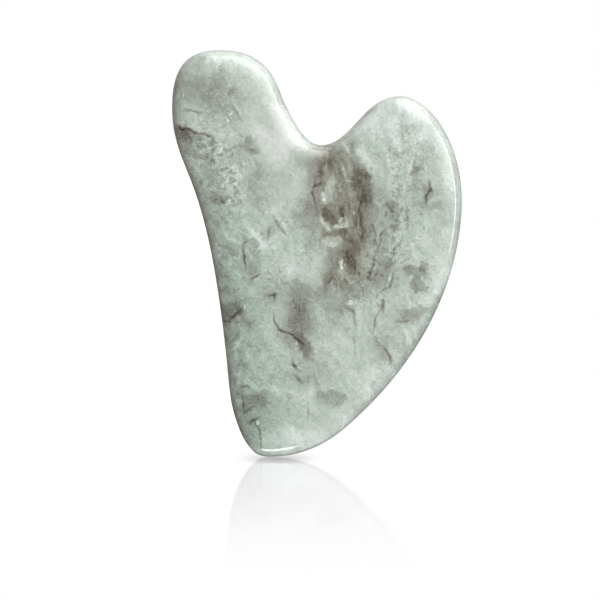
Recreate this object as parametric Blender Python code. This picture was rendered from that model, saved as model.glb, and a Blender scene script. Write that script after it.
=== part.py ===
"""A gua sha board: one heart-shaped plate of polished stone, modelled standing on its toe.

The plate lies in the XZ plane, with its thickness along Y.  Seen from the front, which faces -Y,
the long lobe is on the left, the short lobe on the right, and the notch between them opens
upward.  The origin is the middle of the board's box at its lowest point.
"""
import math
from collections import namedtuple

import bmesh
import bpy
from mathutils import Vector

MM = 0.001  # the dimensions below are millimetres

# Driving dimensions
THICKNESS = 7.0  # between the two flat faces
RIM_REACH = 6.0  # how far the rounding comes in from the outline
RIM_POWER = 2.8  # 2 would be an ellipse; more is squarer
RIM_RINGS = 7  # rings of faces on each side, from the edge to the flat
POINT_SPACING = 1.6  # between points along the outline
TURN_BLEND = 10.0  # the rounding's direction is averaged this far each way along the outline

# The outline as a closed chain of Bezier knots, clockwise seen from the front.  heading is the
# direction of travel in degrees (0 is +X, 90 is +Z); before and after are the handles' lengths.
Knot = namedtuple("Knot", "name x z heading before after")
OUTLINE = (
    Knot("long_lobe_top", -18.7, 80.0, 0, 4.5, 10.0),
    Knot("long_lobe_inner_side", -6.3, 69.5, -63, 3.0, 5.5),
    Knot("notch_bottom", 0.9, 61.4, 0, 3.0, 3.0),
    Knot("notch_rise", 8.9, 67.1, 48, 4.0, 3.0),
    Knot("short_lobe_top", 16.4, 71.0, 0, 3.0, 5.0),
    Knot("belly", 28.45, 50.3, -90, 12.5, 7.0),
    Knot("lower_edge", 9.1, 9.0, -136, 24.0, 5.5),
    Knot("toe", -9.5, 0.0, 180, 9.5, 4.0),
    Knot("heel", -16.0, 6.9, 109, 3.0, 6.0),
    Knot("long_edge", -19.3, 30.2, 98, 16.5, 29.0),
    Knot("long_lobe_outer_side", -28.45, 69.0, 90, 13.0, 10.0),
)

STONE_COLOUR = (0.41, 0.46, 0.40, 1.0)
STONE_ROUGHNESS = 0.12


def clear_scene():
    for thing in list(bpy.data.objects):
        bpy.data.objects.remove(thing, do_unlink=True)


def direction(heading):
    angle = math.radians(heading)
    return Vector((math.cos(angle), math.sin(angle)))


def bezier(start, end, t):
    """The point and the unit tangent at t on the Bezier curve between two knots."""
    p0 = Vector((start.x, start.z))
    p3 = Vector((end.x, end.z))
    p1 = p0 + direction(start.heading) * start.after
    p2 = p3 - direction(end.heading) * end.before
    s = 1.0 - t
    point = p0 * s**3 + p1 * (3 * s * s * t) + p2 * (3 * s * t * t) + p3 * t**3
    tangent = (p1 - p0) * (s * s) + (p2 - p1) * (2 * s * t) + (p3 - p2) * (t * t)
    return point, tangent.normalized()


def segment_length(start, end):
    steps = 24
    points = [bezier(start, end, i / steps)[0] for i in range(steps + 1)]
    return sum((b - a).length for a, b in zip(points, points[1:]))


def outline():
    """Points along the outline, each with its unit direction into the board."""
    points = []
    inward = []
    for start, end in zip(OUTLINE, OUTLINE[1:] + OUTLINE[:1]):
        count = max(2, round(segment_length(start, end) / POINT_SPACING))
        for i in range(count):
            point, tangent = bezier(start, end, i / count)
            points.append(point)
            inward.append(Vector((tangent.y, -tangent.x)))
    return points, inward


def blended(inward):
    """Directions averaged along the outline, so that rings don't cross at the tight turns."""
    reach = round(TURN_BLEND / POINT_SPACING)
    count = len(inward)
    spread = range(-reach, reach + 1)
    return [sum((inward[(i + k) % count] for k in spread), Vector((0, 0))) / len(spread)
            for i in range(count)]


def rim_profile():
    """Inset and height above the middle plane of each ring, from the edge to the flat face.

    A quarter of a superellipse, upright at the edge and flush with the face.
    """
    rings = []
    for i in range(RIM_RINGS + 1):
        angle = math.pi / 2 * i / RIM_RINGS
        inset = 1.0 - max(0.0, math.cos(angle)) ** (2 / RIM_POWER)
        rise = math.sin(angle) ** (2 / RIM_POWER)
        rings.append((inset * RIM_REACH, rise * THICKNESS / 2))
    return rings


def add_ring(mesh, points, inward, inset, y):
    corners = [point + way * inset for point, way in zip(points, inward)]
    return [mesh.verts.new((c.x * MM, y * MM, c.y * MM)) for c in corners]


def bridge(mesh, outer, inner):
    count = len(outer)
    for i in range(count):
        j = (i + 1) % count
        mesh.faces.new((outer[i], outer[j], inner[j], inner[i]))


def board_mesh():
    mesh = bmesh.new()
    points, inward = outline()
    inward = blended(inward)
    profile = rim_profile()
    edge = add_ring(mesh, points, inward, 0.0, 0.0)
    for side in (-1, 1):
        ring = edge
        for inset, rise in profile[1:]:
            inner = add_ring(mesh, points, inward, inset, side * rise)
            bridge(mesh, ring, inner)
            ring = inner
        mesh.faces.new(ring)
    bmesh.ops.recalc_face_normals(mesh, faces=mesh.faces[:])
    data = bpy.data.meshes.new("stone_board")
    mesh.to_mesh(data)
    mesh.free()
    data.shade_smooth()
    return data


def stone_material():
    material = bpy.data.materials.new("polished_stone")
    material.use_nodes = True
    shader = material.node_tree.nodes["Principled BSDF"]
    shader.inputs["Base Color"].default_value = STONE_COLOUR
    shader.inputs["Roughness"].default_value = STONE_ROUGHNESS
    shader.inputs["Metallic"].default_value = 0.0
    return material


def build():
    clear_scene()
    board = bpy.data.objects.new("stone_board", board_mesh())
    board.data.materials.append(stone_material())
    bpy.context.scene.collection.objects.link(board)


build()
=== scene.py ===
"""The look of a gua sha board: one plate of polished grey-green stone on a white table.

Lengths in the named values below are millimetres; Blender's own units are metres.
"""
import math

import bmesh
import bpy
import numpy as np
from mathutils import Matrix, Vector, noise
from mathutils.geometry import delaunay_2d_cdt


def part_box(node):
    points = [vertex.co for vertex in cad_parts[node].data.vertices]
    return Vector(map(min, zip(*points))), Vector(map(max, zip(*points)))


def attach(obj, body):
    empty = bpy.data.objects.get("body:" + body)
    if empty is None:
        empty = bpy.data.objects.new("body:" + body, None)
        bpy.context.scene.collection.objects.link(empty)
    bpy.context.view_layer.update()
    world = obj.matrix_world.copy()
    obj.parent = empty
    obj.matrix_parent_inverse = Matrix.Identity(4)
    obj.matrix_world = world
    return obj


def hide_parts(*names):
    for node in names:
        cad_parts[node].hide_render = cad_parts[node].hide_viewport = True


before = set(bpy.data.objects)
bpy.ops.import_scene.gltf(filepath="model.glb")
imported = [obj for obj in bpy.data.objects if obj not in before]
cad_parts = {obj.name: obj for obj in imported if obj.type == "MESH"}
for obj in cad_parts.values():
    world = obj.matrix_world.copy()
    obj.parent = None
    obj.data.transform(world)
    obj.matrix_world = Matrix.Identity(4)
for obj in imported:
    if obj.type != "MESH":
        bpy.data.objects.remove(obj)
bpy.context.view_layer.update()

MM = 0.001
board_low, board_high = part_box("stone_board")
HALF_THICKNESS = (board_high.y - board_low.y) / 2 / MM

# The rounded rim: a quarter of a superellipse, as on the CAD solid
RIM_REACH = 6.0  # from the outline to the flat face
RIM_POWER = 2.8
RIM_RINGS = 22
TURN_BLEND = 10.0  # length of outline, either way, that the rim's inward directions are averaged over

OUTLINE_POINTS = 720
CURVE_STEPS = 16  # between two points of the CAD solid's outline
OUTLINE_SMOOTHING = 0.45
FACE_SPACING = 0.9  # between the points of the flat faces
FACE_MARGIN = 0.54  # between those points and the flat face's outline
SAME_POINT = 0.001  # points this close are one

CROWN = 0.3  # how far the faces fall away towards the rim
CROWN_SPREAD = 4.0
WAVE_DEPTH = 0.06  # of the slight unevenness that hand polishing leaves
WAVE_LENGTH = 9.0
WAVE_APART = 3.0  # how far from the middle each face takes its waves, so that the two faces differ


# ---------------------------------------------------------------- the board's surface

def edge_loop(obj):
    """The board's widest ring, in the middle plane of its thickness, in order, in millimetres."""
    mesh = bmesh.new()
    mesh.from_mesh(obj.data)
    bmesh.ops.remove_doubles(mesh, verts=mesh.verts[:], dist=SAME_POINT * MM)
    middle = {v for v in mesh.verts if abs(v.co.y) < SAME_POINT * MM}
    here = min(middle, key=lambda v: v.co.z)
    loop = []
    while here is not None:
        loop.append((here.co.x / MM, here.co.z / MM))
        middle.discard(here)
        beside = [e.other_vert(here) for e in here.link_edges if e.other_vert(here) in middle]
        here = beside[0] if beside else None
    mesh.free()
    return np.array(loop)


def smoothed(ring, reach):
    """A closed ring of values averaged with a bell-shaped weight, reach being its spread in points."""
    far = 3 * math.ceil(reach)
    steps = np.arange(-far, far + 1)
    weights = np.exp(-0.5 * (steps / reach) ** 2)
    total = sum(w * np.roll(ring, -s, axis=0) for s, w in zip(steps, weights))
    return total / weights.sum()


def resampled(ring, count):
    """count evenly spaced points on the Catmull-Rom curve through a closed ring, and its length."""
    before, after, beyond = (np.roll(ring, k, axis=0) for k in (1, -1, -2))
    t = np.linspace(0, 1, CURVE_STEPS, endpoint=False)[:, None, None]
    fine = 0.5 * (2 * ring + (after - before) * t + (2 * before - 5 * ring + 4 * after - beyond) * t**2
                  + (3 * ring - before - 3 * after + beyond) * t**3)
    fine = fine.transpose(1, 0, 2).reshape(-1, 2)
    closed = np.vstack([fine, fine[:1]])
    along = np.concatenate([[0], np.cumsum(np.linalg.norm(np.diff(closed, axis=0), axis=1))])
    wanted = np.linspace(0, along[-1], count, endpoint=False)
    return np.column_stack([np.interp(wanted, along, closed[:, k]) for k in (0, 1)]), along[-1]


def inward_directions(ring, spacing):
    """Unit directions into the board, averaged along the ring so that the rim's rings don't cross."""
    tangent = np.roll(ring, -1, axis=0) - np.roll(ring, 1, axis=0)
    tangent /= np.linalg.norm(tangent, axis=1)[:, None]
    area = (ring[:, 0] * np.roll(ring[:, 1], -1) - np.roll(ring[:, 0], -1) * ring[:, 1]).sum()
    normal = np.column_stack([-tangent[:, 1], tangent[:, 0]]) * np.sign(area)
    reach = round(TURN_BLEND / spacing)
    return sum(np.roll(normal, k, axis=0) for k in range(-reach, reach + 1)) / (2 * reach + 1)


def face_points(ring):
    """A staggered grid of points, in equal triangles, within a flat face's outline and clear of it."""
    low, high = ring.min(0), ring.max(0)
    rows = np.arange(low[1], high[1], FACE_SPACING * math.sqrt(0.75))
    grid = [(x + (k % 2) * FACE_SPACING / 2, z) for k, z in enumerate(rows)
            for x in np.arange(low[0], high[0], FACE_SPACING)]
    ahead = np.roll(ring, -1, axis=0)
    kept = []
    for x, z in grid:
        crosses = (ring[:, 1] > z) != (ahead[:, 1] > z)
        a, b = ring[crosses], ahead[crosses]
        inside = (a[:, 0] + (z - a[:, 1]) * (b[:, 0] - a[:, 0]) / (b[:, 1] - a[:, 1]) > x).sum() % 2
        gap = np.hypot(ring[:, 0] - x, ring[:, 1] - z).min()
        if inside and gap > FACE_MARGIN:
            kept.append((x, z))
    return kept


def flat_face(ring):
    """The ring and a grid of points within it, the triangles that join them, and each point's source."""
    inner = face_points(ring)
    points = [Vector(p) for p in ring] + [Vector(p) for p in inner]
    count = len(ring)
    edges = [(i, (i + 1) % count) for i in range(count)]
    made = delaunay_2d_cdt(points, edges, [], 1, 1e-7)  # 1 keeps only what is within the ring
    return made[0], made[2], made[3]


def add_crown(mesh, ring, spacing, middle, half):
    """Lets both faces fall away gently towards the rim and waver a little, as polishing leaves them."""
    place = np.array([v.co for v in mesh.verts]) / MM
    flat_edge = spacing / (CROWN_SPREAD * math.sqrt(2 * math.pi))
    for vert, (x, y, z) in zip(mesh.verts, place):
        gap = (ring[:, 0] - x) ** 2 + (ring[:, 1] - z) ** 2
        near = np.exp(-gap / (2 * CROWN_SPREAD**2)).sum() * flat_edge
        wave = 0.5 + 0.5 * noise.noise(Vector((x, WAVE_APART * np.sign(y - middle), z)) / WAVE_LENGTH)
        fall = near * CROWN + wave * WAVE_DEPTH
        vert.co.y = (middle + (y - middle) * (1 - fall / half)) * MM


def board_mesh(node):
    low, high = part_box(node)
    half = (high.y - low.y) / 2 / MM
    middle = (high.y + low.y) / 2 / MM
    ring, length = resampled(edge_loop(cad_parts[node]), OUTLINE_POINTS)
    spacing = length / OUTLINE_POINTS
    ring = smoothed(ring, OUTLINE_SMOOTHING / spacing)
    inward = inward_directions(ring, spacing)
    mesh = bmesh.new()

    def add(points, y):
        return [mesh.verts.new((p[0] * MM, (middle + y) * MM, p[1] * MM)) for p in points]

    edge = add(ring, 0.0)
    angles = [math.pi / 2 * (i / RIM_RINGS) for i in range(1, RIM_RINGS + 1)]
    for side in (-1, 1):
        outer = edge
        for angle in angles:
            inset = 1 - max(0.0, math.cos(angle)) ** (2 / RIM_POWER)
            rise = math.sin(angle) ** (2 / RIM_POWER)
            here = ring + inward * inset * RIM_REACH
            inner = add(here, side * rise * half)
            for i in range(OUTLINE_POINTS):
                j = (i + 1) % OUTLINE_POINTS
                mesh.faces.new((outer[i], outer[j], inner[j], inner[i]))
            outer = inner
        points, triangles, sources = flat_face(here)
        corner = [outer[s[0]] if s and s[0] < OUTLINE_POINTS else None for s in sources]
        for k, p in enumerate(points):
            if corner[k] is None:
                corner[k] = mesh.verts.new((p.x * MM, (middle + side * half) * MM, p.y * MM))
        for triangle in triangles:
            mesh.faces.new([corner[k] for k in triangle])
    bmesh.ops.recalc_face_normals(mesh, faces=mesh.faces[:])
    add_crown(mesh, ring, spacing, middle, half)
    data = bpy.data.meshes.new("stone_board_surface")
    mesh.to_mesh(data)
    mesh.free()
    data.shade_smooth()
    return data


# ---------------------------------------------------------------- shader nodes by plain calls

class Graph:
    """Adds nodes to one tree; an input is given as a number, a tuple or another node's socket."""

    def __init__(self, tree):
        self.tree = tree

    def add(self, kind, inputs=None, **settings):
        node = self.tree.nodes.new("ShaderNode" + kind)
        for name, value in settings.items():
            setattr(node, name, value)
        for key, value in (inputs or {}).items():
            if isinstance(value, bpy.types.NodeSocket):
                self.tree.links.new(value, node.inputs[key])
            else:
                node.inputs[key].default_value = value
        return node

    def math(self, operation, a, b=0.0):
        return self.add("Math", {0: a, 1: b}, operation=operation).outputs[0]

    def vector(self, operation, a, b=(0.0, 0.0, 0.0)):
        return self.add("VectorMath", {0: a, 1: b}, operation=operation).outputs[0]

    def tinted(self, colour, tint, share):
        """The colour times the tint, where the share is 1, and the colour alone where it is 0."""
        node = self.tree.nodes.new("ShaderNodeMix")
        node.data_type = "RGBA"
        node.blend_type = "MULTIPLY"
        sockets = {s.identifier: s for s in node.inputs}
        self.tree.links.new(share, sockets["Factor_Float"])
        self.tree.links.new(colour, sockets["A_Color"])
        sockets["B_Color"].default_value = (*tint, 1.0)
        return {s.identifier: s for s in node.outputs}["Result_Color"]

    def step(self, value, low, high, at_low=0.0, at_high=1.0):
        """at_low below low, at_high above high, and a smooth rise or fall between them."""
        inputs = {"Value": value, "From Min": low, "From Max": high, "To Min": at_low, "To Max": at_high}
        return self.add("MapRange", inputs, interpolation_type="SMOOTHSTEP").outputs[0]

    def window(self, value, low, high):
        """1 between two borders, each given as its middle and its softness."""
        rise = self.step(value, low[0] - low[1], low[0] + low[1])
        fall = self.step(value, high[0] - high[1], high[0] + high[1], 1.0, 0.0)
        return self.math("MULTIPLY", rise, fall)


# ---------------------------------------------------------------- the stone's pattern

# Tone is the lightness of the stone as the eye takes it, 0 black and 1 white, and each inclusion
# shifts it. Bearings are degrees from +X towards +Z, as seen from the front.

STONE_TONE = 0.740
INCLUSION_DEPTH = 9.0  # how far a face's inclusions reach into the stone

# Clouds: x, z, bearing, half length, half width, edge (1 fades all the way, 0.3 is crisp), tone
CLOUDS = (
    # broad drifts of lighter and darker stone, and pale bands along two rims that are painted light
    (-10.4, 66.2, -60, 9.0, 3.2, 1.0, 0.10),
    (-20.0, 77.6, 10, 6.0, 2.0, 1.0, 0.05),
    (-7.0, 57.0, -60, 8.0, 3.6, 1.0, 0.05),
    # painted highlight: a pale band just inside the long lobe's right rim, for the soft light's glow
    (-5.4, 65.2, -61, 7.0, 1.0, 1.0, 0.06),
    # painted light: a pale band just inside the rim of the short lobe's left slope
    (7.0, 63.8, 39, 5.0, 0.8, 0.9, 0.08),
    (14.2, 67.0, 10, 7.5, 4.2, 1.0, 0.10),
    (21.0, 59.0, -70, 6.0, 4.5, 1.0, 0.03),
    (-20.2, 46.0, -75, 14.0, 3.6, 1.0, -0.09),
    (-14.2, 12.0, 84, 10.0, 4.0, 1.0, -0.09),
    (3.0, 16.0, 60, 12.0, 6.0, 1.0, 0.07),
    (-4.0, 3.2, 10, 8.0, 3.2, 1.0, 0.14),
    (12.0, 41.0, 78, 10.0, 3.2, 1.0, -0.08),
    (12.5, 57.0, -75, 6.0, 3.0, 1.0, 0.09),
    (24.6, 36.0, 64, 5.0, 1.8, 1.0, 0.08),
    (21.0, 42.0, 65, 6.0, 3.6, 0.8, 0.06),
    (-1.6, 38.4, 12, 5.2, 2.6, 0.9, 0.09),
    (-10.5, 46.0, -55, 9.0, 2.5, 1.0, 0.03),
    # long lobe
    (-17.0, 63.4, 5, 4.0, 2.2, 1.0, 0.07),
    (-20.5, 72.6, -20, 6.5, 3.4, 0.8, -0.10),
    (-23.4, 69.6, -15, 3.4, 1.5, 0.4, -0.05),
    (-16.2, 71.8, 60, 1.0, 0.7, 0.5, -0.08),
    (-25.2, 63.5, -15, 2.8, 0.8, 1.0, -0.22),
    (-25.6, 61.8, -30, 2.8, 1.6, 1.0, -0.07),
    (-22.4, 60.0, -20, 2.4, 1.1, 0.8, -0.04),
    (-13.9, 61.7, 70, 1.3, 0.5, 0.7, -0.12),
    (-12.4, 60.0, -25, 1.6, 0.6, 0.7, -0.15),
    (-19.0, 50.8, 10, 1.5, 0.8, 0.6, -0.12),
    (-11.6, 55.4, 60, 2.4, 1.5, 0.8, -0.08),
    (-16.4, 54.4, -66, 4.5, 2.6, 1.0, -0.06),
    # brown smoke that runs down from the notch
    (3.8, 49.0, -84, 13.5, 4.4, 0.9, -0.16),
    (1.6, 58.6, -12, 4.0, 2.4, 0.9, -0.10),
    (-1.4, 50.6, 86, 5.0, 1.6, 1.0, -0.12),
    (0.4, 55.8, 75, 1.8, 0.8, 0.8, -0.08),
    (8.6, 53.0, -75, 3.8, 1.9, 0.5, -0.18),
    (8.2, 46.8, 88, 4.2, 1.2, 0.9, -0.13),
    (2.0, 48.4, -55, 2.2, 1.3, 0.6, -0.13),
    (4.3, 49.2, -75, 1.3, 0.6, 0.5, -0.10),
    (2.8, 44.2, 15, 2.6, 0.7, 0.7, -0.09),
    (6.2, 40.6, -60, 3.4, 1.8, 0.7, -0.12),
    (6.9, 38.4, -58, 2.8, 1.6, 0.6, -0.12),
    (3.0, 37.0, 80, 4.0, 1.4, 0.7, -0.13),
    (1.2, 32.6, 75, 2.4, 0.8, 0.8, -0.09),
    (5.2, 34.4, -45, 3.0, 1.3, 0.8, -0.06),
    (4.6, 31.0, 70, 3.4, 2.4, 0.9, -0.09),
    # fragments held in the smoke
    (2.1, 52.9, 68, 2.2, 1.1, 0.4, 0.14),
    (1.3, 56.8, -60, 0.9, 0.6, 0.5, 0.12),
    (4.5, 46.0, 12, 1.4, 0.8, 0.4, 0.19),
    (4.1, 47.6, 80, 0.8, 0.4, 0.5, 0.14),
    (5.4, 47.4, -60, 0.9, 0.3, 0.5, 0.16),
    (3.2, 42.3, -20, 2.2, 1.2, 0.5, 0.13),
    (4.8, 38.0, -65, 1.0, 0.4, 0.5, 0.24),
    (6.4, 31.0, 10, 0.7, 0.5, 0.5, 0.18),
    # milky middle
    (-11.4, 43.0, -50, 3.2, 0.7, 0.8, 0.08),
    (-12.2, 38.6, 88, 3.8, 1.7, 0.6, -0.10),
    (-2.9, 46.2, -60, 1.9, 0.8, 0.9, -0.07),
    (-1.0, 44.4, 80, 3.4, 0.6, 1.0, -0.05),
    # short lobe
    (8.8, 59.8, -58, 3.0, 1.3, 0.7, 0.12),
    (7.6, 61.2, 15, 1.5, 0.8, 0.6, -0.08),
    (17.6, 64.6, 65, 1.3, 0.7, 0.6, -0.06),
    (16.8, 60.0, 10, 1.8, 0.7, 0.8, -0.06),
    (19.7, 56.2, 35, 1.4, 0.6, 0.4, -0.09),
    (21.6, 52.2, 85, 2.4, 1.1, 0.5, -0.10),
    (21.8, 49.4, 2, 3.6, 0.6, 0.8, -0.07),
    (24.2, 46.4, 60, 2.2, 1.4, 0.8, -0.06),
    (18.8, 36.2, -8, 2.4, 1.4, 0.3, -0.14),
    (20.7, 37.6, 70, 1.5, 0.7, 0.35, -0.10),
    (20.2, 34.0, -15, 1.6, 0.9, 0.3, -0.14),
    (18.6, 28.4, 40, 2.6, 1.7, 0.35, -0.11),
    (16.2, 27.0, 10, 1.3, 0.5, 0.4, -0.10),
    (23.2, 29.4, 58, 3.6, 1.2, 0.8, -0.10),
    (11.0, 35.0, -10, 4.0, 2.2, 1.0, -0.05),
    (13.0, 20.4, -55, 2.6, 1.1, 0.6, -0.09),
    (17.4, 23.4, -60, 2.0, 0.7, 0.7, 0.07),
    # lower part
    (-3.3, 28.2, 84, 5.6, 3.0, 0.8, -0.21),
    (-2.5, 21.8, -58, 2.6, 1.2, 0.8, -0.20),
    (-5.2, 22.4, -60, 2.2, 0.6, 0.8, -0.07),
    (-17.2, 28.8, 10, 2.8, 1.6, 0.5, -0.19),
    (-17.0, 24.8, 80, 2.6, 1.4, 0.9, -0.11),
    (-11.8, 11.2, -5, 2.6, 1.3, 0.6, -0.11),
    (-13.6, 14.2, -5, 1.2, 0.5, 0.5, -0.10),
    (-14.2, 18.6, 5, 1.2, 0.5, 0.6, -0.10),
    (-9.4, 6.0, 10, 2.2, 1.2, 1.0, -0.04),
    (2.6, 11.7, -12, 3.2, 1.6, 0.45, -0.11),
    (-1.2, 15.0, -35, 2.2, 1.0, 0.6, -0.07),
    (-8.2, 13.0, -5, 2.2, 0.5, 0.8, 0.06),
    (-16.2, 22.2, 40, 2.2, 0.5, 0.8, 0.09),
)

# Cracks and healed seams: half width, tone, then the points that each runs through
CRACKS = (
    (0.20, -0.20, (-27.6, 65.2), (-26.3, 64.4), (-25.0, 64.5), (-23.6, 63.6), (-22.4, 63.7), (-20.6, 63.0)),
    (0.22, -0.14, (-25.6, 68.4), (-24.0, 68.0), (-22.5, 67.7)),
    (0.25, -0.10, (-18.0, 60.0), (-15.0, 61.4)),
    (0.20, 0.12, (-16.4, 69.8), (-15.0, 67.4)),
    (0.35, -0.12, (-16.7, 69.6), (-15.2, 66.8)),
    (0.26, -0.28, (-14.4, 41.4), (-14.1, 37.8)),
    (0.25, -0.12, (-14.4, 42.1), (-13.0, 43.0)),
    (0.28, 0.11, (-18.4, 45.0), (-17.5, 43.2), (-15.4, 42.4)),
    (0.20, -0.10, (-8.4, 47.2), (-7.2, 45.2), (-6.0, 43.8)),
    (0.34, 0.10, (-8.1, 47.9), (-5.7, 44.3)),
    (0.30, -0.14, (-9.5, 45.0), (-9.5, 43.8)),
    (0.22, -0.10, (-9.5, 42.0), (-8.6, 40.2)),
    (0.24, -0.20, (-9.2, 31.9), (-8.3, 32.2), (-8.4, 31.1)),
    (0.18, -0.22, (-12.5, 35.5), (-11.3, 36.2)),
    (0.17, -0.22, (-8.5, 28.2), (-8.3, 26.8), (-7.3, 25.2), (-5.2, 24.5), (-3.2, 22.8)),
    (0.24, -0.20, (-4.9, 19.4), (-4.5, 18.2), (-3.6, 17.4)),
    (0.28, -0.18, (-4.2, 16.2), (-2.9, 14.7)),
    (0.25, -0.18, (-13.0, 7.2), (-11.5, 7.9)),
    (0.18, -0.18, (-12.2, 7.1), (-11.3, 5.4), (-10.9, 1.4)),
    (0.25, -0.14, (-14.6, 11.8), (-14.2, 9.0), (-12.8, 9.8)),
    (0.18, -0.12, (-1.8, 10.8), (-1.8, 7.8)),
    (0.18, -0.10, (8.6, 50.6), (8.2, 48.9), (8.6, 46.8), (8.3, 44.6)),
    (0.28, -0.14, (-0.8, 53.2), (1.0, 54.0)),
    (0.20, -0.14, (-0.5, 53.4), (-0.9, 51.8), (-0.3, 50.0)),
    (0.20, 0.11, (4.1, 58.4), (5.0, 57.0), (5.8, 54.4), (7.2, 54.2)),
    (0.22, 0.11, (5.4, 61.6), (6.6, 59.4)),
    (0.32, -0.14, (1.9, 61.2), (5.4, 64.4), (9.6, 67.6)),
    (0.30, 0.18, (0.7, 47.4), (1.6, 45.4)),
    (0.32, 0.18, (2.0, 45.8), (2.5, 44.6)),
    (0.22, 0.14, (8.2, 46.4), (8.4, 44.4)),
    (0.18, -0.15, (11.3, 39.6), (10.9, 37.4), (10.1, 35.8)),
    (0.18, -0.13, (13.3, 45.0), (12.4, 43.8), (12.3, 42.2), (11.6, 40.2)),
    (0.18, -0.13, (10.7, 45.8), (11.4, 44.2), (11.1, 42.2)),
    (0.20, -0.20, (21.9, 54.3), (22.1, 52.8), (21.3, 51.4), (21.5, 49.9)),
    (0.24, -0.14, (17.5, 48.9), (17.7, 46.0)),
    (0.20, 0.10, (18.8, 59.0), (17.9, 55.8)),
    (0.28, -0.24, (13.0, 31.0), (12.8, 29.2)),
    (0.18, -0.16, (12.2, 29.0), (11.4, 27.4), (11.1, 25.2)),
    (0.26, -0.14, (5.9, 29.6), (7.1, 28.8), (7.6, 25.6)),
    (0.22, -0.09, (7.2, 24.6), (7.4, 20.6)),
    (0.24, -0.16, (14.9, 36.2), (14.3, 33.8), (12.6, 32.8)),
    (0.22, 0.24, (14.4, 35.8), (14.2, 35.0)),
    (0.22, -0.20, (13.2, 21.6), (14.2, 20.0), (14.5, 18.6)),
    (0.24, -0.18, (-18.4, 27.0), (-17.2, 26.9), (-15.6, 28.6)),
)

# Small pale chips: x, z, size
CHIPS = (
    (-18.6, 69.2, 0.24), (-16.9, 67.7, 0.32), (-17.5, 66.2, 0.22), (-21.3, 77.8, 0.28), (-26.0, 71.2, 0.30),
    (1.3, 50.8, 0.30), (7.0, 48.1, 0.32), (-13.9, 27.6, 0.30), (-14.2, 29.6, 0.26), (-7.2, 24.8, 0.20),
    (-3.8, 17.6, 0.26), (-4.2, 22.4, 0.24), (-11.6, 7.0, 0.30),
)
CHIP_TONE = 0.19
CHIP_BEARING = 70
CHIP_EDGE = 0.6

# The back face has a few clouds and cracks of its own, scattered by a fixed seed
BACK_SEED = 7
BACK_CLOUDS = 15
BACK_CRACKS = 4
BACK_CLOUD_TONES = (-0.18, -0.14, -0.10, 0.08)
BACK_CRACK_WIDTH = 0.3

# Zones where the stone has a texture of its own, as clouds without a tone; one also holds painted sheen
TEXTURE_ZONES = {
    "web": (-19.0, 56.0, -66, 9.0, 3.6, 0.8),
    "edge": (-16.5, 24.0, -84, 26.0, 2.8, 0.8),
    "smoke": (4.6, 48.0, -84, 15.0, 5.0, 0.8),
    "veins": (13.0, 40.0, 76, 15.0, 4.6, 0.8),
    "lobe": (15.5, 60.0, 75, 10.5, 6.5, 0.8),
    "green": (-15.5, 18.0, -82, 26.0, 6.0, 1.0),
    # milky stone inside the long lobe's upper right rim, partly painted sheen of the soft light's haze
    "milky and sheen": (-8.5, 62.5, -62, 11.0, 5.0, 1.0),
}
MILKY_SHEEN_CALM = 0.45  # what is left of the grain in the milky zone, where painted sheen also veils it
PIT_EDGE = (-0.07, 0.01)  # from a pit layer's share of the noise, where the pits are full and end
FOAM_EDGE = (0.04, 0.34)  # in cells from a border, where its paleness starts to fade and is gone
FOAM_SHIFTS = (1.0, -1.2)  # of the borders and the middles

# The stone's colour by tone, as the eye takes it (sRGB, 0 to 255)
TONE_COLOURS = (
    (0.25, (63, 56, 47)),
    (0.40, (101, 95, 85)),
    (0.50, (127, 126, 116)),
    (0.60, (152, 155, 146)),
    (0.70, (171, 180, 170)),
    (0.80, (196, 207, 197)),
    (0.92, (228, 237, 231)),
)
# The stone's own linear colour is this share of its look, less what the polish reflects
LOOK_SHARE = 0.88
GLOSS = 0.045
DARKEST = 0.008
# What the zones with a hue of their own, and the left rim with its painted shade, keep of each linear
# colour
TINTS = {
    "green": (0.93, 1.01, 0.98),
    "smoke": (1.05, 0.99, 0.97),
    # partly the stone's own, partly painted sheen: the warmer hue of the soft light's haze
    "milky and sheen": (1.045, 1.0, 1.01),
    # painted shade: a brown tint where the rim turns left, away from the light
    "left rim shade": (0.94, 0.73, 0.73),
}
LEFT_RIM_SHADE_TURN = (0.38, 0.85)  # how far the rim turns to the left where the painted brown shade begins and is full


# ---------------------------------------------------------------- the stone's shader

def spot(graph, place, x, z, bearing, long, wide, edge, side=-1):
    """1 inside an ellipse on one face of the board, falling to 0 at its border and into the stone."""
    inputs = {
        "Vector": place,
        "Location": (x, side * HALF_THICKNESS, z),
        "Rotation": (0, math.radians(-bearing), 0),
        "Scale": (long / (1 - edge / 2), INCLUSION_DEPTH, wide / (1 - edge / 2)),
    }
    local = graph.add("Mapping", inputs, vector_type="TEXTURE").outputs[0]
    ball = graph.add("TexGradient", {0: local}, gradient_type="SPHERICAL").outputs["Fac"]
    return graph.step(ball, 0.0, edge)


def add_clouds(graph, tone, place, clouds, side=-1):
    for x, z, bearing, long, wide, edge, shift in clouds:
        mask = spot(graph, place, x, z, bearing, long, wide, edge, side)
        tone = graph.add("Math", {0: mask, 1: shift, 2: tone}, operation="MULTIPLY_ADD").outputs[0]
    return tone


def add_cracks(graph, tone, place, cracks, side=-1):
    for width, shift, *points in cracks:
        rows = []
        for (x0, z0), (x1, z1) in zip(points, points[1:]):
            length = math.hypot(x1 - x0, z1 - z0)
            bearing = math.degrees(math.atan2(z1 - z0, x1 - x0))
            rows.append(((x0 + x1) / 2, (z0 + z1) / 2, bearing, length / 2 + width, width, 1.0, shift))
        tone = add_clouds(graph, tone, place, rows, side)
    return tone


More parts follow.
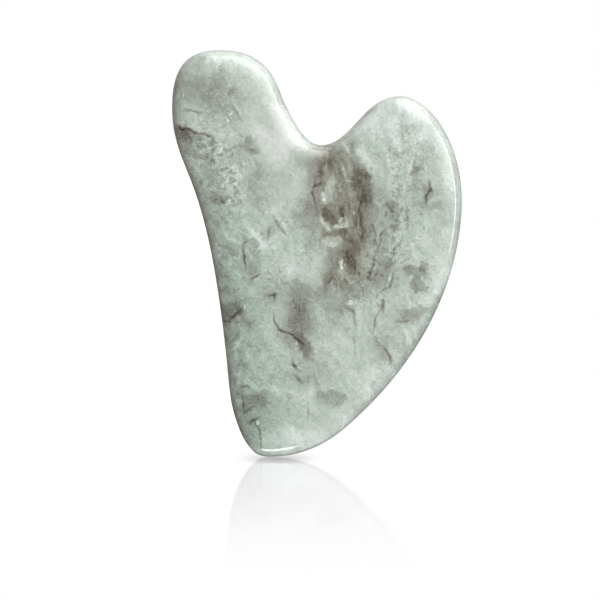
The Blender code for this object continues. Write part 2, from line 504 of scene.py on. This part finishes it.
def noise_value(graph, place, size, detail=2.0, roughness=0.5, curl=0.0):
    """Noise of grain size (mm), 0 to 1 and mostly about 0.5; curl winds it up."""
    inputs = {"Vector": place, "Scale": 1 / size, "Detail": detail, "Roughness": roughness}
    return graph.add("TexNoise", {**inputs, "Distortion": curl}).outputs["Fac"]


def in_patches(graph, place, size, detail, low, high, least=0.0, most=1.0):
    """least where noise of grain size (mm) is below low, most where it is above high."""
    return graph.step(noise_value(graph, place, size, detail), low, high, least, most)


def warped(graph, place, size, reach):
    """Points pushed about by noise: size is the noise's grain and reach the push, in millimetres."""
    push = graph.add("TexNoise", {"Vector": place, "Scale": 1 / size}).outputs["Color"]
    push = graph.vector("SUBTRACT", push, (0.5, 0.5, 0.5))
    push = graph.vector("MULTIPLY", push, (reach, reach, reach))
    return graph.vector("ADD", place, push)


def drawn_out(graph, place, bearing, times):
    """Points squeezed along one bearing, so that a texture at them is drawn out that many times."""
    inputs = {"Vector": place, "Rotation": (0, math.radians(-bearing), 0), "Scale": (times, 1, 1)}
    return graph.add("Mapping", inputs, vector_type="TEXTURE").outputs[0]


def add_layer(graph, tone, values, amount, zone=None):
    """Adds amount times the values to the tone, everywhere or only within a zone."""
    if zone is not None:
        amount = graph.math("MULTIPLY", zone, amount)
    return graph.add("Math", {0: values, 1: amount, 2: tone}, operation="MULTIPLY_ADD").outputs[0]


def noise_layer(graph, tone, place, size, amount, detail, roughness, zone=None, curl=0.0):
    """Adds noise of grain size (mm) to the tone, evenly lighter and darker."""
    value = noise_value(graph, place, size, detail, roughness, curl)
    return add_layer(graph, tone, graph.math("SUBTRACT", value, 0.5), amount, zone)


def pit_layer(graph, tone, place, size, amount, share, zone=None):
    """Adds scattered blots of grain size (mm) where noise is below the share."""
    value = noise_value(graph, place, size, detail=1.5)
    full, end = (share + edge for edge in PIT_EDGE)
    return add_layer(graph, tone, graph.step(value, full, end, 1.0, 0.0), amount, zone)


def thread_layer(graph, tone, place, size, amount, width, zone=None):
    """Adds thin winding threads, here and there, along the middle value of noise of the given size."""
    value = noise_value(graph, place, size, detail=2.5)
    gap = graph.math("ABSOLUTE", graph.math("SUBTRACT", value, 0.5))
    gate = in_patches(graph, place, size / 0.45, detail=1.0, low=0.42, high=0.6)
    thread = graph.math("MULTIPLY", graph.step(gap, 0.0, width, 1.0, 0.0), gate)
    return add_layer(graph, tone, thread, amount, zone)


def foam_layer(graph, tone, place, size, amount, zone=None):
    """Adds cells of the given size (mm) with pale borders and darker middles, here and there."""
    inputs = {"Vector": place, "Scale": 1 / size}
    border = graph.add("TexVoronoi", inputs, feature="DISTANCE_TO_EDGE").outputs["Distance"]
    gate = in_patches(graph, place, size / 0.35, detail=2.0, low=0.35, high=0.6)
    cell = graph.math("MULTIPLY", graph.step(border, *FOAM_EDGE, *FOAM_SHIFTS), gate)
    return add_layer(graph, tone, cell, amount, zone)


def fragment_layer(graph, tone, place, size, amount, zone=None):
    """Adds angular fragments of the given size (mm), each a little lighter or darker."""
    cells = graph.add("TexVoronoi", {"Vector": place, "Scale": 1 / size}).outputs["Color"]
    value = graph.add("SeparateColor", {0: cells}).outputs[0]
    return add_layer(graph, tone, graph.math("SUBTRACT", value, 0.5), amount, zone)


def seeded_back():
    """Clouds and cracks for the back face, scattered by a fixed seed."""
    rng = np.random.default_rng(BACK_SEED)
    clouds = []
    for _ in range(BACK_CLOUDS):
        z = rng.uniform(4, 74)
        x = rng.uniform(-22, -10) if z > 60 else rng.uniform(-15, 6 + z / 4)
        long = rng.uniform(2.0, 6.0)
        wide = long * rng.uniform(0.35, 0.6)
        shift = rng.choice(BACK_CLOUD_TONES)
        clouds.append((x, z, rng.uniform(40, 130), long, wide, rng.uniform(0.4, 0.9), shift))
    cracks = []
    for _ in range(BACK_CRACKS):
        z = rng.uniform(8, 66)
        x = rng.uniform(-14, 2 + z / 4)
        turn = (x + rng.uniform(-1, 1), z - rng.uniform(1.0, 2.2))
        end = (turn[0] + rng.uniform(-1.2, 1.2), turn[1] - rng.uniform(1.0, 2.2))
        cracks.append((BACK_CRACK_WIDTH, rng.uniform(-0.24, -0.14), (x, z), turn, end))
    return clouds, cracks


def linear(colour):
    """The stone's own linear colour where it looks like these sRGB values in the studio's light."""
    channels = [((c / 255 + 0.055) / 1.055) ** 2.4 for c in colour]
    return tuple(max(LOOK_SHARE * c - GLOSS, DARKEST) for c in channels) + (1.0,)


def stone_zones(graph, flowing):
    """Masks, by name, of zones with a texture or hue of their own and of the rim given painted shade."""
    zones = {name: spot(graph, flowing, *row) for name, row in TEXTURE_ZONES.items()}
    normal = graph.add("TexCoord").outputs["Normal"]
    to_right = graph.add("SeparateXYZ", {0: normal}).outputs[0]
    # painted shade: the rim turned to the left, away from the light, is tinted brown
    zones["left rim shade"] = graph.step(graph.math("MULTIPLY", to_right, -1.0), *LEFT_RIM_SHADE_TURN)
    return zones


def stone_body(graph, fine, flowing, zones):
    """The tone that runs all through the stone: cloudiness, fragments, drawn-out wisps and grain.

    Each layer's numbers are its grain size in millimetres and its amount.
    """
    slanting = drawn_out(graph, flowing, bearing=-52, times=5.0)
    # the grain is calmer in the milky zone, which is partly painted sheen
    clear = graph.step(zones["milky and sheen"], 0.0, 1.0, 1.0, MILKY_SHEEN_CALM)
    patches = in_patches(graph, flowing, 6.0, detail=2.0, low=0.38, high=0.62, least=0.35, most=1.3)
    grainy = graph.math("MULTIPLY", clear, patches)
    tone = STONE_TONE
    tone = noise_layer(graph, tone, flowing, 13.0, 0.42, detail=9.0, roughness=0.66)
    tone = noise_layer(graph, tone, slanting, 1.4, 0.22, detail=4.0, roughness=0.65)
    tone = noise_layer(graph, tone, fine, 3.4, 0.16, detail=3.0, roughness=0.6, zone=clear, curl=2.5)
    tone = noise_layer(graph, tone, fine, 0.45, 0.24, detail=2.0, roughness=0.6, zone=grainy)
    tone = pit_layer(graph, tone, fine, 0.8, -0.05, share=0.36)
    tone = fragment_layer(graph, tone, flowing, 3.2, 0.035)
    return thread_layer(graph, tone, slanting, 2.0, 0.04, width=0.05)


def zone_textures(graph, tone, fine, zones):
    """Adds what some zones have of their own."""
    steep = drawn_out(graph, fine, bearing=-82, times=7.0)
    tone = thread_layer(graph, tone, fine, 1.5, 0.15, width=0.045, zone=zones["web"])
    tone = foam_layer(graph, tone, fine, 1.6, 0.09, zone=zones["web"])
    tone = pit_layer(graph, tone, fine, 1.1, -0.08, share=0.44, zone=zones["web"])
    tone = noise_layer(graph, tone, fine, 1.3, 0.45, detail=4.0, roughness=0.65, zone=zones["edge"])
    tone = noise_layer(graph, tone, steep, 0.7, 0.40, detail=3.0, roughness=0.6, zone=zones["smoke"])
    tone = thread_layer(graph, tone, fine, 2.6, -0.15, width=0.035, zone=zones["veins"])
    tone = foam_layer(graph, tone, fine, 1.6, 0.07, zone=zones["veins"])
    tone = noise_layer(graph, tone, steep, 0.8, 0.28, detail=3.0, roughness=0.6, zone=zones["lobe"])
    return thread_layer(graph, tone, steep, 0.9, 0.11, width=0.05, zone=zones["lobe"])


def inclusions(graph, tone, place, fine, flowing):
    """Adds the clouds, cracks and chips of the front, and the scattered ones of the back."""
    seam = warped(graph, place, size=3.0, reach=0.6)
    seam = warped(graph, seam, size=0.6, reach=0.45)
    chips = [(x, z, CHIP_BEARING, size, size * 0.6, CHIP_EDGE, CHIP_TONE) for x, z, size in CHIPS]
    clouds, cracks = seeded_back()
    tone = add_clouds(graph, tone, flowing, CLOUDS)
    tone = add_cracks(graph, tone, seam, CRACKS)
    tone = add_clouds(graph, tone, fine, chips)
    tone = add_clouds(graph, tone, flowing, clouds, side=1)
    return add_cracks(graph, tone, seam, cracks, side=1)


def stone_colour(graph, tone, zones):
    """The stone's colour by its tone, with the hues that some zones have and the left rim's painted shade.
    """
    ramp = graph.add("ValToRGB", {0: tone})
    stops = ramp.color_ramp.elements
    for k, (at, colour) in enumerate(TONE_COLOURS):
        stop = stops[k] if k < 2 else stops.new(at)  # a new ramp has two stops
        stop.position = at
        stop.color = linear(colour)
    colour = ramp.outputs["Color"]
    for name, tint in TINTS.items():
        colour = graph.tinted(colour, tint, zones[name])
    return colour


def stone_material():
    material = bpy.data.materials.new("polished_stone_surface")
    material.use_nodes = True
    tree = material.node_tree
    shader = tree.nodes["Principled BSDF"]
    graph = Graph(tree)
    metres = graph.add("TexCoord").outputs["Object"]
    place = graph.vector("MULTIPLY", metres, (1 / MM, 1 / MM, 1 / MM))
    fine = warped(graph, place, size=0.9, reach=1.6)
    flowing = warped(graph, fine, size=6.0, reach=5.0)
    zones = stone_zones(graph, flowing)
    tone = stone_body(graph, fine, flowing, zones)
    tone = zone_textures(graph, tone, fine, zones)
    tone = inclusions(graph, tone, place, fine, flowing)
    tree.links.new(stone_colour(graph, tone, zones), shader.inputs["Base Color"])
    shader.inputs["Roughness"].default_value = 0.14
    shader.inputs["IOR"].default_value = 1.6
    shader.inputs["Coat Weight"].default_value = 1.0
    shader.inputs["Coat Roughness"].default_value = 0.04
    shader.inputs["Coat IOR"].default_value = 1.55
    return material


# ---------------------------------------------------------------- camera, table and light

LOOK_AT = (-3.34, 0.0, 30.92)
CAMERA_DISTANCE = 700.0
CAMERA_ELEVATION = 3.0
VIEW_WIDTH = 118.03  # what the picture spans at LOOK_AT
SENSOR = 36.0

TABLE_HALF = 8000.0
MIRROR_STRENGTH = 0.25
MIRROR_REACH = (5.0, 190.0)  # distances from the toe where the mirror image starts to fade and is gone
SHADOW_STRENGTH = 0.46
SHADOW_CENTRE = (1.5, -4.0, 0.0)  # from the toe
SHADOW_SIZE = (9.0, 17.0, 1.0)  # half lengths
SHADOW_CORE = 0.1  # the share of the shadow's size where it is full

# The studio as seen from the board: each soft light is a patch of the sky, given by its angle
# away from the front (-Y) direction and its bearing around it (0 is +X, 90 is up), in degrees.
# Each row: strength, inner and outer front angle with their softness, bearings, their softness
SOFT_LIGHTS = (
    (3.4, (28, 25), (58, 2), (0, 96), 10),  # broad scrim, upper right, brighter away from the camera
    (8.0, (57.5, 1.5), (61, 1.5), (-14, 98), 3),  # strip along its outer edge
    (1.7, (64, 3), (104, 4), (18, 104), 8),  # white wall above the strip
    (0.3, (64, 3), (104, 4), (-15, 18), 8),  # and beside it
    (7.0, (50, 3), (61, 3), (-112, -76), 3),  # low strip in front
    (0.7, (64, 4), (112, 6), (-130, -55), 10),  # the bright table below it
    (3.0, (134, 6), (160, 6), (-170, -125), 8),  # soft light behind, lower left
    (0.9, (15, 10), (60, 10), (-55, -5), 10),  # reflector, lower right
)
AMBIENT = 0.30  # in front of the board
SIDE_WALLS = (0.10, 0.65)  # beside and behind the board, from below and from above
WALL_HEIGHTS = (-0.3, 0.6)  # how far a direction points up where the walls are dimmest and brightest
WALL_ANGLES = (75, 105)  # front angles between which the ambient light passes into the walls
BACKGROUND = 1.0  # straight behind the board
BACKGROUND_ANGLES = (158, 168)


def add_camera():
    centre = Vector(LOOK_AT) * MM
    angle = math.radians(CAMERA_ELEVATION)
    away = Vector((0, -math.cos(angle), math.sin(angle)))
    data = bpy.data.cameras.new("camera")
    data.sensor_width = SENSOR
    data.lens = SENSOR * CAMERA_DISTANCE / VIEW_WIDTH
    data.clip_start = 0.01
    data.clip_end = 100
    camera = bpy.data.objects.new("camera", data)
    camera.location = centre + away * CAMERA_DISTANCE * MM
    camera.rotation_euler = (-away).to_track_quat("-Z", "Y").to_euler()
    bpy.context.scene.collection.objects.link(camera)
    bpy.context.scene.camera = camera


def floor_material():
    """White, with a faint mirror image of the board and a soft contact shadow under its toe."""
    material = bpy.data.materials.new("white_table")
    material.use_nodes = True
    material.node_tree.nodes.clear()
    graph = Graph(material.node_tree)
    metres = graph.add("TexCoord").outputs["Object"]
    place = graph.vector("MULTIPLY", metres, (1 / MM, 1 / MM, 1 / MM))
    off_toe = graph.add("VectorMath", {0: place}, operation="LENGTH").outputs["Value"]
    inputs = {"Vector": place, "Location": SHADOW_CENTRE, "Scale": SHADOW_SIZE}
    under = graph.add("Mapping", inputs, vector_type="TEXTURE").outputs[0]
    off_shadow = graph.add("VectorMath", {0: under}, operation="LENGTH").outputs["Value"]
    brightness = graph.step(off_shadow, SHADOW_CORE, 1.0, 1 - SHADOW_STRENGTH, 1.0)
    white = graph.add("Emission", {"Color": (1, 1, 1, 1), "Strength": brightness}).outputs[0]
    mirror = graph.add("BsdfGlossy", {"Color": (1, 1, 1, 1), "Roughness": 0.05}).outputs[0]
    mirror_share = graph.step(off_toe, *MIRROR_REACH, MIRROR_STRENGTH, 0.0)
    surface = graph.add("MixShader", {0: mirror_share, 1: white, 2: mirror}).outputs[0]
    graph.add("OutputMaterial", {"Surface": surface})
    return material


def add_floor(toe_x):
    """A table that only shows itself: it neither lights nor shades the board. Its middle is at the toe."""
    half = TABLE_HALF * MM
    mesh = bpy.data.meshes.new("table")
    corners = [(-half, -half, 0), (half, -half, 0), (half, half, 0), (-half, half, 0)]
    mesh.from_pydata(corners, [], [(0, 1, 2, 3)])
    floor = bpy.data.objects.new("table", mesh)
    bpy.context.scene.collection.objects.link(floor)
    floor.data.materials.append(floor_material())
    floor.location.x = toe_x
    floor.visible_diffuse = False
    floor.visible_glossy = False
    floor.visible_transmission = False
    floor.visible_shadow = False


def add_light():
    """The studio around the board; the camera itself sees plain white."""
    world = bpy.data.worlds.new("studio")
    bpy.context.scene.world = world
    world.use_nodes = True
    world.node_tree.nodes.clear()
    graph = Graph(world.node_tree)
    ray = graph.add("TexCoord").outputs["Generated"]
    x, y, z = graph.add("SeparateXYZ", {0: ray}).outputs
    degrees = 180 / math.pi
    off_front = graph.math("MULTIPLY", graph.math("ARCCOSINE", graph.math("MULTIPLY", y, -1.0)), degrees)
    bearing = graph.math("MULTIPLY", graph.math("ARCTAN2", z, x), degrees)
    walls = graph.step(z, *WALL_HEIGHTS, *SIDE_WALLS)
    total = graph.step(off_front, *WALL_ANGLES, AMBIENT, walls)
    total = graph.step(off_front, *BACKGROUND_ANGLES, total, BACKGROUND)
    for strength, inner, outer, (first, last), soft in SOFT_LIGHTS:
        across = graph.window(off_front, inner, outer)
        around = graph.window(bearing, (first, soft), (last, soft))
        patch = graph.math("MULTIPLY", across, around)
        total = graph.math("ADD", total, graph.math("MULTIPLY", patch, strength))
    seen = graph.add("LightPath").outputs["Is Camera Ray"]
    total = graph.add("Mix", {"Factor": seen, "A": total, "B": 1.0}).outputs["Result"]
    sky = graph.add("Background", {"Color": (1, 1, 1, 1), "Strength": total}).outputs[0]
    graph.add("OutputWorld", {"Surface": sky})


# ---------------------------------------------------------------- the scene

board = bpy.data.objects.new("stone_board_surface", board_mesh("stone_board"))
bpy.context.scene.collection.objects.link(board)
board.data.materials.append(stone_material())
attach(board, "root")
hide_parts("stone_board")

toe = min(board.data.vertices, key=lambda v: v.co.z)
add_camera()
add_floor(toe.co.x)
add_light()

view = bpy.context.scene.view_settings
view.view_transform = "Standard"
view.look = "None"
